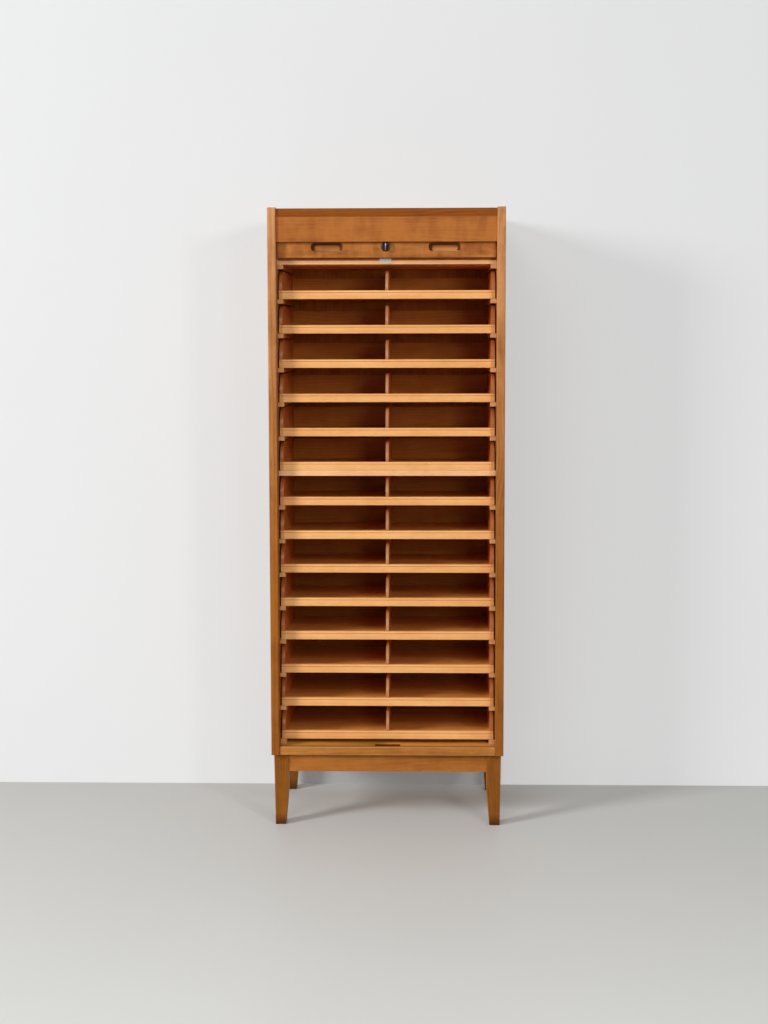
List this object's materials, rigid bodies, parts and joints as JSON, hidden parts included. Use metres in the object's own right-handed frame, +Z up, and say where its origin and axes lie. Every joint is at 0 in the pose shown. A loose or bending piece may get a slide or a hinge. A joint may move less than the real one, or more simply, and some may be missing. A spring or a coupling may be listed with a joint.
{
  "type": "roll-front tray cabinet",
  "caption": "Tall free-standing cabinet on tapered legs, with shallow two-compartment pull-out trays behind a roll-up slatted front that has a handle rail and a key lock.",
  "frame": {"origin": "on the floor under the middle of the case, which is the middle of the bounding box's bottom", "axes": "+X to the right seen from the front, +Y from the open front to the back, +Z up"},
  "size_m": [0.56, 0.4, 1.484],
  "materials": {
    "panel_wood": "satin varnished beech, grain upright",
    "case_wood": "satin varnished birch, reddish brown",
    "base_wood": "satin varnished beech, darker",
    "tray_wood": "clear varnished beech",
    "lip_wood": "clear varnished honey birch",
    "inner_wood": "thin varnished plywood, dark",
    "back_plywood": "varnished plywood",
    "curtain_wood": "satin varnished slats",
    "canvas": "plain woven canvas",
    "plate_metal": "dull, bare",
    "lock_metal": "worn nickel",
    "plug_metal": "worn",
    "key_metal": "dark, worn",
    "screw_metal": "zinc"
  },
  "bodies": {
    "carcass": {"side_panel_left": "panel_wood", "side_panel_right": "panel_wood", "top_board": "case_wood", "fascia_board": "case_wood", "ceiling_board": "tray_wood", "fixed_shelf": "tray_wood", "bottom_board": "case_wood", "bottom_front_rail": "case_wood", "inner_back": "inner_wood", "back_panel": "back_plywood", "runner_battens": "tray_wood", "curtain_lead_slat": "curtain_wood", "curtain_slats": "curtain_wood", "curtain_canvas": "canvas", "label_plate": "plate_metal", "back_screws": "screw_metal", "leg_front_left": "base_wood", "leg_front_right": "base_wood", "leg_rear_left": "base_wood", "leg_rear_right": "base_wood", "apron_front": "base_wood", "apron_rear": "base_wood", "apron_left": "base_wood", "apron_right": "base_wood", "corner_blocks": "tray_wood", "base_screws": "screw_metal"},
    "door": {"handle_rail": "case_wood", "lock_case": "lock_metal", "lock_cylinder": "lock_metal"},
    "key": {"lock_plug": "plug_metal", "lock_key": "key_metal"},
    "bolt": {"lock_bolt": "lock_metal"},
    "tray_01": {"tray_01_box": "tray_wood", "tray_01_lip": "lip_wood"},
    "tray_02": {"tray_02_box": "tray_wood", "tray_02_lip": "lip_wood"},
    "tray_03": {"tray_03_box": "tray_wood", "tray_03_lip": "lip_wood"},
    "tray_04": {"tray_04_box": "tray_wood", "tray_04_lip": "lip_wood"},
    "tray_05": {"tray_05_box": "tray_wood", "tray_05_lip": "lip_wood"},
    "tray_06": {"tray_06_box": "tray_wood", "tray_06_lip": "lip_wood"},
    "tray_07": {"tray_07_box": "tray_wood", "tray_07_lip": "lip_wood"},
    "tray_08": {"tray_08_box": "tray_wood", "tray_08_lip": "lip_wood"},
    "tray_09": {"tray_09_box": "tray_wood", "tray_09_lip": "lip_wood"},
    "tray_10": {"tray_10_box": "tray_wood", "tray_10_lip": "lip_wood"},
    "tray_11": {"tray_11_box": "tray_wood", "tray_11_lip": "lip_wood"},
    "tray_12": {"tray_12_box": "tray_wood", "tray_12_lip": "lip_wood"},
    "tray_13": {"tray_13_box": "tray_wood", "tray_13_lip": "lip_wood"},
    "tray_14": {"tray_14_box": "tray_wood", "tray_14_lip": "lip_wood"}
  },
  "joints": [
    {"name": "door_slide", "type": "slide", "parent": "carcass", "child": "door", "axis": [0, 0, 1], "range_m": [-1.1718, 0]},
    {"name": "key_turn", "type": "hinge", "parent": "door", "child": "key", "pos_m": [-0.002, -0.18, 1.393], "axis": [0, 1, 0], "range_deg": [0, 90]},
    {"name": "bolt_slide", "type": "slide", "parent": "door", "child": "bolt", "axis": [0, 0, -1], "range_m": [0, 0.008]},
    {"name": "tray_01_slide", "type": "slide", "parent": "carcass", "child": "tray_01", "axis": [0, -1, 0], "range_m": [0, 0.28]},
    {"name": "tray_02_slide", "type": "slide", "parent": "carcass", "child": "tray_02", "axis": [0, -1, 0], "range_m": [0, 0.28]},
    {"name": "tray_03_slide", "type": "slide", "parent": "carcass", "child": "tray_03", "axis": [0, -1, 0], "range_m": [0, 0.28]},
    {"name": "tray_04_slide", "type": "slide", "parent": "carcass", "child": "tray_04", "axis": [0, -1, 0], "range_m": [0, 0.28]},
    {"name": "tray_05_slide", "type": "slide", "parent": "carcass", "child": "tray_05", "axis": [0, -1, 0], "range_m": [0, 0.28]},
    {"name": "tray_06_slide", "type": "slide", "parent": "carcass", "child": "tray_06", "axis": [0, -1, 0], "range_m": [0, 0.28]},
    {"name": "tray_07_slide", "type": "slide", "parent": "carcass", "child": "tray_07", "axis": [0, -1, 0], "range_m": [0, 0.28]},
    {"name": "tray_08_slide", "type": "slide", "parent": "carcass", "child": "tray_08", "axis": [0, -1, 0], "range_m": [0, 0.28]},
    {"name": "tray_09_slide", "type": "slide", "parent": "carcass", "child": "tray_09", "axis": [0, -1, 0], "range_m": [0, 0.28]},
    {"name": "tray_10_slide", "type": "slide", "parent": "carcass", "child": "tray_10", "axis": [0, -1, 0], "range_m": [0, 0.28]},
    {"name": "tray_11_slide", "type": "slide", "parent": "carcass", "child": "tray_11", "axis": [0, -1, 0], "range_m": [0, 0.28]},
    {"name": "tray_12_slide", "type": "slide", "parent": "carcass", "child": "tray_12", "axis": [0, -1, 0], "range_m": [0, 0.28]},
    {"name": "tray_13_slide", "type": "slide", "parent": "carcass", "child": "tray_13", "axis": [0, -1, 0], "range_m": [0, 0.28]},
    {"name": "tray_14_slide", "type": "slide", "parent": "carcass", "child": "tray_14", "axis": [0, -1, 0], "range_m": [0, 0.28]}
  ],
  "couplings": [
    {"joint": "bolt_slide", "follows": "key_turn", "m_per_rad": 0.005093}
  ]
}
